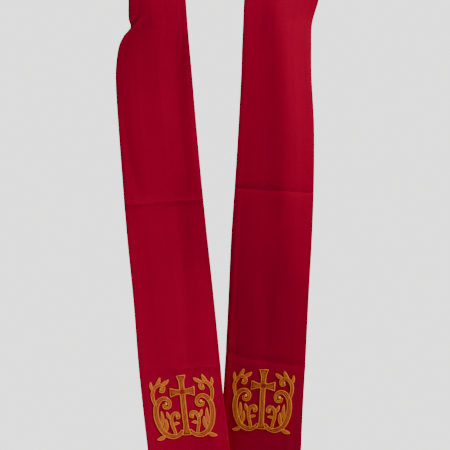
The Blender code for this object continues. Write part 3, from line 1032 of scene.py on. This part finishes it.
@dataclass
class Pile:
    """Gathers the meshes of one finish, drawn flat, before they are laid on a strip."""

    vertices: list[np.ndarray] = field(default_factory=list)
    lays: list[np.ndarray] = field(default_factory=list)
    faces: list[tuple[int, ...]] = field(default_factory=list)
    count: int = 0
    # a dome is as high as it can be where half its width is more than this
    dome_full: float = 2.2
    # how far under the ornament's flat a dome starts, and a knot as an angle
    dome_base: float = -0.35
    knot_base: float = -0.45
    dome_steps: int = 8
    cord_sides: int = 8
    cord_twist: float = 0.9
    knot_rings: int = 6
    knot_sides: int = 14
    # the share of its height that a cord or a knot keeps under the press
    pressed: float = 0.8

    def add(self, vertices: np.ndarray, lay: np.ndarray, faces: list[tuple[int, ...]]) -> None:
        """Add a part to the pile.

        Args:
            vertices: its points, as (aside, up, off).
            lay: the thread coordinates of each point.
            faces: its faces, which count its own points from 0.
        """
        self.faces += [tuple(int(k) + self.count for k in face) for face in faces]
        self.vertices.append(vertices)
        self.lays.append(lay)
        self.count += len(vertices)

    def dome(self, stroke: Stroke, height: float) -> None:
        """Add a padded band: a low arch over its whole width, with closed ends.

        Args:
            stroke: the band.
            height: of the arch where the band is broad, in millimetres.
        """
        one, two = stroke.sides()
        share = np.linspace(0.0, 1.0, self.dome_steps + 1)
        arch = np.sqrt(np.maximum(0.0, 1.0 - (2.0 * share - 1.0) ** 2))
        rows = len(one)
        flat = one[:, None, :] * (1.0 - share)[None, :, None]
        flat = flat + two[:, None, :] * share[None, :, None]
        full = np.minimum(1.0, stroke.halves / self.dome_full)[:, None]
        lift = full * arch[None, :] * height
        top = np.concatenate([flat, lift[:, :, None]], 2)
        base = np.full((rows, 1), self.dome_base)
        under = np.stack([np.concatenate([edge, base], 1) for edge in (two, one)], 1)
        ring = np.concatenate([top, under], 1)
        size = ring.shape[1]
        places = lengths_along(stroke.points)
        across = np.concatenate([share - 0.5, [0.5, -0.5]])[None, :]
        lay = np.zeros((rows, size, 3))
        lay[:, :, 0] = across * 2.0 * stroke.halves[:, None]
        lay[:, :, 1] = places[:, None]
        faces = [tuple(f) for f in tube_faces(rows, size)]
        faces.append(tuple(range(size))[::-1])
        faces.append(tuple(range((rows - 1) * size, rows * size)))
        self.add(ring.reshape(-1, 3), lay.reshape(-1, 3), faces)

    def cord(self, line: np.ndarray, radius: float, closed: bool, rise: float) -> None:
        """Add a round cord that lies along a line.

        Args:
            line: the points of its middle, seen from above.
            radius: of the cord, in millimetres.
            closed: whether its ends join.
            rise: how high its middle lies, in millimetres.
        """
        sides = self.cord_sides
        ahead = np.roll(line, -1, axis=0) - np.roll(line, 1, axis=0)
        if not closed:
            ahead[0], ahead[-1] = line[1] - line[0], line[-1] - line[-2]
        ahead /= np.maximum(1e-9, np.linalg.norm(ahead, axis=1, keepdims=True))
        square = np.stack([-ahead[:, 1], ahead[:, 0]], 1)
        turn = np.arange(sides) * (2.0 * math.pi / sides)
        out = np.cos(turn)[None, :] * radius
        up = np.sin(turn)[None, :] * radius * self.pressed + rise
        flat = line[:, None, :] + square[:, None, :] * out[:, :, None]
        ring = np.concatenate([flat, np.broadcast_to(up[:, :, None], flat[:, :, :1].shape)], 2)
        places = lengths_along(line)
        lay = np.zeros((len(line), sides, 3))
        lay[:, :, 0] = turn[None, :] * radius
        lay[:, :, 1] = places[:, None] + turn[None, :] * radius * self.cord_twist
        faces = [tuple(f)[::-1] for f in tube_faces(len(line), sides, closed)]
        if not closed:
            faces.append(tuple(range(sides)))
            faces.append(tuple(range((len(line) - 1) * sides, len(line) * sides))[::-1])
        self.add(ring.reshape(-1, 3), lay.reshape(-1, 3), faces)

    def knot(self, spot: tuple[float, float], radius: float) -> None:
        """Add a round knot of thread.

        Args:
            spot: the knot's middle, as (aside, up).
            radius: its radius in millimetres.
        """
        rings, sides, top = self.knot_rings, self.knot_sides, radius * self.pressed
        tilt = np.linspace(self.knot_base, math.pi / 2.0, rings + 1)[:-1]
        turn = np.arange(sides) * (2.0 * math.pi / sides)
        wide = np.cos(tilt)[:, None] * radius
        x = spot[0] + wide * np.cos(turn)[None, :]
        y = spot[1] + wide * np.sin(turn)[None, :]
        z = np.broadcast_to((np.sin(tilt) * top)[:, None], x.shape)
        points = np.stack([x, y, z], 2).reshape(-1, 3)
        points = np.vstack([points, [[spot[0], spot[1], top]]])
        lay = np.zeros_like(points)
        lay[:, 0], lay[:, 1] = points[:, 0] - spot[0], points[:, 1] - spot[1]
        faces = [tuple(f) for f in tube_faces(rings, sides)]
        base = (rings - 1) * sides
        faces += [(base + k, base + (k + 1) % sides, rings * sides) for k in range(sides)]
        faces.append(tuple(range(sides))[::-1])
        self.add(points, lay, faces)


@dataclass(frozen=True)
class Leaf:
    """A leaf on a scroll, from the cell where it grows to its tip.

    Its side is 1 on the scroll's left as the scroll runs to its tip, and -1 on its
    right. Its bend is how far its middle line bows to its own left.
    """

    cell: float
    side: int
    tip: tuple[float, float]
    width: float
    bend: float


@dataclass(frozen=True)
class Scroll:
    """A curling band: points (x, y, width), its leaves, and the knot in its curl.

    The cells are its equal steps from root to tip, and the eye is the knot's place and
    radius (x, y, radius).
    """

    points: tuple[tuple[float, float, float], ...]
    cells: int
    leaves: tuple[Leaf, ...]
    eye: tuple[float, float, float]


STEM = Scroll(
    points=(
        (7.0, -44.0, 4.4),
        (16.0, -52.0, 5.8),
        (29.0, -53.5, 7.2),
        (41.5, -46.5, 8.2),
        (50.0, -32.0, 8.6),
        (54.0, -13.0, 8.6),
        (52.0, 6.0, 8.0),
        (43.0, 18.0, 6.8),
        (32.0, 19.0, 5.6),
        (25.5, 11.0, 4.8),
        (28.0, 2.5, 4.2),
        (36.0, 2.0, 3.7),
        (38.5, 8.0, 3.1),
    ),
    cells=36,
    leaves=(
        Leaf(9.5, 1, (36.5, -20.0), 6.8, 1.5),
        Leaf(12.5, 1, (43.8, -4.0), 6.0, 2.0),
        Leaf(8.5, -1, (57.5, -57.0), 6.2, -1.5),
    ),
    eye=(33.3, 9.3, 3.1),
)
BRANCH = Scroll(
    points=(
        (53.4, 9.0, 4.2),
        (56.5, 19.0, 5.0),
        (57.0, 31.0, 5.4),
        (51.5, 42.0, 5.2),
        (42.0, 46.5, 4.7),
        (34.5, 41.0, 4.2),
        (36.5, 33.5, 3.6),
        (43.0, 34.5, 3.0),
    ),
    cells=21,
    leaves=(
        Leaf(8.5, -1, (58.5, 53.0), 4.8, -1.0),
        Leaf(11.5, -1, (40.5, 60.5), 5.8, 1.5),
        Leaf(14.5, -1, (24.0, 55.0), 6.2, 1.5),
    ),
    eye=(40.7, 38.6, 2.3),
)
SHOOT = Scroll(
    points=(
        (21.0, -51.0, 4.0),
        (22.5, -42.0, 4.4),
        (25.5, -31.0, 5.0),
        (26.0, -20.0, 5.0),
        (21.5, -11.5, 4.7),
        (14.0, -10.5, 4.2),
        (11.0, -17.0, 3.6),
        (16.0, -20.0, 3.0),
    ),
    cells=21,
    leaves=(
        Leaf(6.5, 1, (12.0, -29.0), 4.6, -1.0),
        Leaf(10.5, -1, (33.5, -6.5), 5.2, -1.0),
    ),
    eye=(16.3, -15.6, 1.9),
)


@dataclass
class Ornament:
    """A cross between two sprays of scrolls and leaves, in millimetres from its centre."""

    form: StripForm
    centre: float
    # the cross: how low and high it reaches, how far its arms reach aside, and how high
    # they stand
    cross_foot: float = -52.0
    cross_head: float = 61.0
    cross_span: float = 23.0
    cross_bar: float = 30.0
    # half its arms' width, half their flared ends' width, and how long the flare is
    waist: float = 4.3
    flare: float = 8.6
    flare_length: float = 17.0
    # how high the padded parts are, and how far they all stand off the cloth
    ground_height: float = 0.9
    satin_height: float = 1.1
    gap: float = 0.4
    # the cord round the cross, the others as shares of it, and how high they lie
    cord_radius: float = 0.78
    band_cord: float = 0.95
    leaf_cord: float = 0.8
    cord_rise: float = 0.5
    leaf_cord_rise: float = 0.4
    # fine cords along the middle of a band, which stop short of its ends
    vein_radius: float = 0.34
    vein_spacing: float = 2.5
    vein_margin: float = 0.5
    vein_rise: float = 1.0
    vein_points: int = 7
    arm_stop: int = -3
    band_start: int = 4
    band_stop: int = -6
    # where a leaf starts inside its scroll, and the shares that shape its outline
    leaf_points: int = 10
    leaf_root: float = 0.3
    leaf_tip: float = 0.04
    leaf_stalk: float = 0.22
    stalk_share: float = 0.25
    leaf_lean: float = 0.85
    leaf_fullness: float = 0.75
    # the spacing of points, and the size that the whole ornament is drawn down to
    step: float = 1.0
    scale: float = 0.93

    def arm(self, x: float, y: float, reach: float) -> Stroke:
        """Give one arm of the cross.

        Args:
            x: 1, 0 or -1, the way that the arm points aside.
            y: the same for up and down.
            reach: the arm's length from the middle of the cross.

        Returns:
            The arm as a band from the middle to its flared end.
        """
        place = np.arange(0.0, reach + self.step / 2.0, self.step)
        place[-1] = reach
        spread = np.maximum(0.0, (place - reach + self.flare_length) / self.flare_length)
        half = self.waist + (self.flare - self.waist) * spread**2
        points = np.stack([x * place, self.cross_bar + y * place], 1)
        return Stroke(points, half)

    def arms(self) -> list[Stroke]:
        """List the four arms.

        Returns:
            The foot, the head, and the arms on +X and -X.
        """
        return [
            self.arm(0.0, -1.0, self.cross_bar - self.cross_foot),
            self.arm(0.0, 1.0, self.cross_head - self.cross_bar),
            self.arm(1.0, 0.0, self.cross_span),
            self.arm(-1.0, 0.0, self.cross_span),
        ]

    def cross_outline(self) -> np.ndarray:
        """Give the closed line round the whole cross.

        Returns:
            The line's points, clockwise from the top.
        """
        foot, head, right, left = self.arms()
        keep = int(math.ceil(self.waist / self.step))
        corners = []
        for arm in (head, right, foot, left):
            one, two = arm.sides()
            corners += [one[keep:], two[keep:][::-1]]
        return np.concatenate(corners)

    def band(self, scroll: Scroll, mirror: float) -> Stroke:
        """Give one scroll's band."""
        line = smooth_line(np.array(scroll.points), self.step)
        return Stroke(line[:, :2] * np.array([mirror, 1.0]), line[:, 2] / 2.0)

    def leaf(self, stem: Stroke, cells: int, leaf: Leaf, mirror: float) -> Stroke:
        """Give one leaf that grows from the side of a scroll.

        Args:
            stem: the scroll's band.
            cells: how many cells the scroll has.
            leaf: the leaf's own sizes.
            mirror: 1 for the +X spray and -1 for the other.

        Returns:
            The leaf as a band from its root to its tip.
        """
        index = int(round(leaf.cell / cells * (len(stem.points) - 1)))
        one, two = stem.sides()
        root = (one if leaf.side * mirror > 0 else two)[index]
        root = root + (stem.points[index] - root) * self.leaf_root
        reach = np.array([leaf.tip[0] * mirror, leaf.tip[1]]) - root
        length = float(np.linalg.norm(reach))
        aside = np.array([-reach[1], reach[0]]) / length
        t = np.linspace(0.0, 1.0, max(self.leaf_points, round(length / self.step)))
        bow = 4.0 * leaf.bend * mirror * t * (1.0 - t)
        points = root + reach * t[:, None] + aside * bow[:, None]
        full = np.sin(math.pi * t**self.leaf_lean) ** self.leaf_fullness
        half = leaf.width / 2.0 * np.maximum(self.leaf_tip, full)
        stalk = int(len(t) * self.stalk_share)
        half[:stalk] = np.maximum(half[:stalk], leaf.width * self.leaf_stalk)
        return Stroke(points, half)

    def veins(self, cords: Pile, band: Stroke, start: int, stop: int) -> None:
        """Lay fine cords side by side along a broad band, as many as it has room for.

        Args:
            cords: the pile that takes them.
            band: the band that they lie on.
            start: the first point of the band that they may reach.
            stop: the point before which they end, counted as a slice counts.
        """
        one, two = band.sides()
        across = (one - two) / (2.0 * band.halves[:, None])
        room = band.halves - self.cord_radius - self.vein_margin
        for offset in (-1.0, 0.0, 1.0):
            shift = offset * self.vein_spacing
            fits = np.nonzero(room[start:stop] > abs(shift))[0] + start
            if len(fits) >= self.vein_points:
                line = band.points[fits] + across[fits] * shift
                cords.cord(line, self.vein_radius, False, self.vein_rise)

    def draw(self) -> tuple[Pile, Pile, Pile]:
        """Draw the ornament flat.

        Returns:
            The ground, the satin parts and the cords.
        """
        ground, satin, cords = Pile(), Pile(), Pile()
        for arm in self.arms():
            ground.dome(arm, self.ground_height)
            self.veins(cords, arm, int(self.waist / self.step), self.arm_stop)
        cords.cord(self.cross_outline(), self.cord_radius, True, self.cord_rise)
        thick, thin = self.cord_radius * self.band_cord, self.cord_radius * self.leaf_cord
        for mirror in (1.0, -1.0):
            for scroll in (BRANCH, SHOOT, STEM):
                band = self.band(scroll, mirror)
                ground.dome(band, self.ground_height)
                cords.cord(band.outline(), thick, True, self.cord_rise)
                self.veins(cords, band, self.band_start, self.band_stop)
                for row in scroll.leaves:
                    leaf = self.leaf(band, scroll.cells, row, mirror)
                    satin.dome(leaf, self.satin_height)
                    cords.cord(leaf.outline(), thin, True, self.leaf_cord_rise)
                x, y, radius = scroll.eye
                cords.knot((x * mirror, y), radius)
        return ground, satin, cords

    def build(self, threads: dict[Layer, bpy.types.Material]) -> list[bpy.types.Object]:
        """Lay the ornament on its strip.

        Args:
            threads: the material of each layer.

        Returns:
            One piece for each layer.
        """
        made = []
        for layer, pile in zip(Layer, self.draw()):
            flat = np.vstack(pile.vertices) * np.array([self.scale, self.scale, 1.0])
            along = self.centre - flat[:, 1]
            across = self.form.across_of(flat[:, 0], along)
            points = self.form.place(across, along, flat[:, 2] + self.gap)
            name = f"ornament_{self.form.side.word}_{layer.value}"
            lay = np.vstack(pile.lays)
            made.append(make_object(name, points, pile.faces, lay, threads[layer]))
        return made


# -------------------------------------------------------------------------- studio


@dataclass(frozen=True)
class Lamp:
    """One square soft light: its place and size in metres, and its power in watts."""

    name: str
    place: tuple[float, float, float]
    size: float
    power: float

    def hang(self, target: tuple[float, float, float]) -> None:
        """Hang the light.

        Args:
            target: the point that it faces.
        """
        data = bpy.data.lights.new(self.name, "AREA")
        data.size = self.size
        data.energy = self.power
        item = bpy.data.objects.new(self.name, data)
        item.location = self.place
        aim = Vector(target) - Vector(self.place)
        item.rotation_euler = aim.to_track_quat("-Z", "Y").to_euler()
        bpy.context.scene.collection.objects.link(item)


@dataclass
class Studio:
    """The pale floor, the soft lights and the camera, in metres.

    The sky is a colour, weak in front of the stole and strong behind it, and changes
    over a stretch of directions along Y.
    """

    floor_height: float = -1.48
    floor_radius: float = 2.6
    floor_ring: float = 1.3
    floor_sides: int = 96
    floor_colour: tuple[float, float, float] = (0.82, 0.82, 0.81)
    floor_roughness: float = 0.9
    sky_colour: tuple[float, float, float] = (1.0, 0.995, 0.985)
    sky_stretch: tuple[float, float] = (-0.1, 0.9)
    sky_strengths: tuple[float, float] = (0.10, 2.3)
    key: Lamp = Lamp("key_light", (3.2, -1.8, 2.0), 1.3, 350.0)
    back: Lamp = Lamp("back_light", (-0.6, 2.3, 0.9), 1.4, 26.0)
    lit_point: tuple[float, float, float] = (0.0, -0.05, -0.5)
    aim: tuple[float, float, float] = (0.0143, -0.14, -0.5460)
    distance: float = 2.6
    frame_size: float = 0.8055
    sensor: float = 36.0

    def floor(self) -> None:
        """Make a round pale floor."""
        shop = Workshop("pale_floor")
        material = shop.finish(
            Base_Color=colour(*self.floor_colour), Roughness=self.floor_roughness
        )
        sides = self.floor_sides
        turn = np.arange(sides) * (2.0 * math.pi / sides)
        rings = [
            np.stack([np.cos(turn) * r, np.sin(turn) * r, turn * 0.0], 1)
            for r in (self.floor_radius, self.floor_ring)
        ]
        points = np.concatenate(rings) / MM
        points[:, 2] = self.floor_height / MM
        faces = [tuple(f) for f in tube_faces(2, sides)] + [tuple(range(sides, 2 * sides))]
        make_object("floor", points, faces, points * 0.0, material)

    def light(self) -> None:
        """Light the stole softly from in front and above."""
        world = bpy.data.worlds.new("studio")
        bpy.context.scene.world = world
        world.use_nodes = True
        bench = Bench(world.node_tree)
        ways = bench.node("ShaderNodeTexCoord", output="Generated")
        _x, behind, _z = bench.parts(ways)
        values = {
            "Value": behind,
            "From Min": self.sky_stretch[0],
            "From Max": self.sky_stretch[1],
            "To Min": self.sky_strengths[0],
            "To Max": self.sky_strengths[1],
        }
        settings = {"interpolation_type": "SMOOTHSTEP"}
        strength = bench.node("ShaderNodeMapRange", settings, values)
        sky = bench.tree.nodes["Background"]
        bench.feed(sky.inputs["Color"], colour(*self.sky_colour))
        bench.feed(sky.inputs["Strength"], strength)
        self.key.hang(self.lit_point)
        self.back.hang(self.lit_point)

    def camera(self) -> None:
        """Place the camera straight in front of the strips."""
        data = bpy.data.cameras.new("camera")
        data.sensor_width = self.sensor
        data.lens = self.sensor * self.distance / self.frame_size
        item = bpy.data.objects.new("camera", data)
        item.location = (self.aim[0], self.aim[1] - self.distance, self.aim[2])
        item.rotation_euler = (math.pi / 2.0, 0.0, 0.0)
        bpy.context.scene.collection.objects.link(item)
        bpy.context.scene.camera = item


# ----------------------------------------------------------------------- assembly


@dataclass
class Half:
    """One half of the stole: its strip of cloth and its ornament.

    The centre is the ornament's middle, in millimetres along the strip. The cut is the
    strip's flat size in metres, and its area in square metres; neither is used.
    """

    side: Side
    centre: float
    cut: tuple[float, float] = (0.145, 1.37)
    cut_area: float = 0.181

    def build(
        self, cloth: bpy.types.Material, threads: dict[Layer, bpy.types.Material]
    ) -> list[bpy.types.Object]:
        """Build the half in place of its two nodes.

        Args:
            cloth: the strip's material.
            threads: the ornament's materials.

        Returns:
            The strip, then the pieces of its ornament.
        """
        form = StripForm(self.side)
        panel = Panel(form).build(cloth)
        pieces = Ornament(form, self.centre).build(threads)
        self.place(panel, f"panel_{self.side.word}")
        for piece in pieces:
            self.place(piece, f"motif_{self.side.word}")
        return [panel, *pieces]

    def place(self, piece: bpy.types.Object, node: str) -> None:
        """Put a piece on the stole's one body, in place of a node.

        Args:
            piece: the finer piece.
            node: the node that it replaces.
        """
        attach(piece, "root")
        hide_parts(node)


def main() -> None:
    """Build the stole in order, then the studio."""
    logging.basicConfig(level=logging.INFO, format="%(message)s")
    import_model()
    cloth = CrimsonCloth().make()
    threads = {layer: finish.make() for layer, finish in THREADS.items()}
    for half in (Half(Side.RIGHT, centre=1096.0), Half(Side.LEFT, centre=1085.0)):
        for piece in half.build(cloth, threads):
            LOG.info("%s: %d faces", piece.name, len(piece.data.polygons))
    studio = Studio()
    studio.floor()
    studio.light()
    studio.camera()


if __name__ == "__main__":
    main()
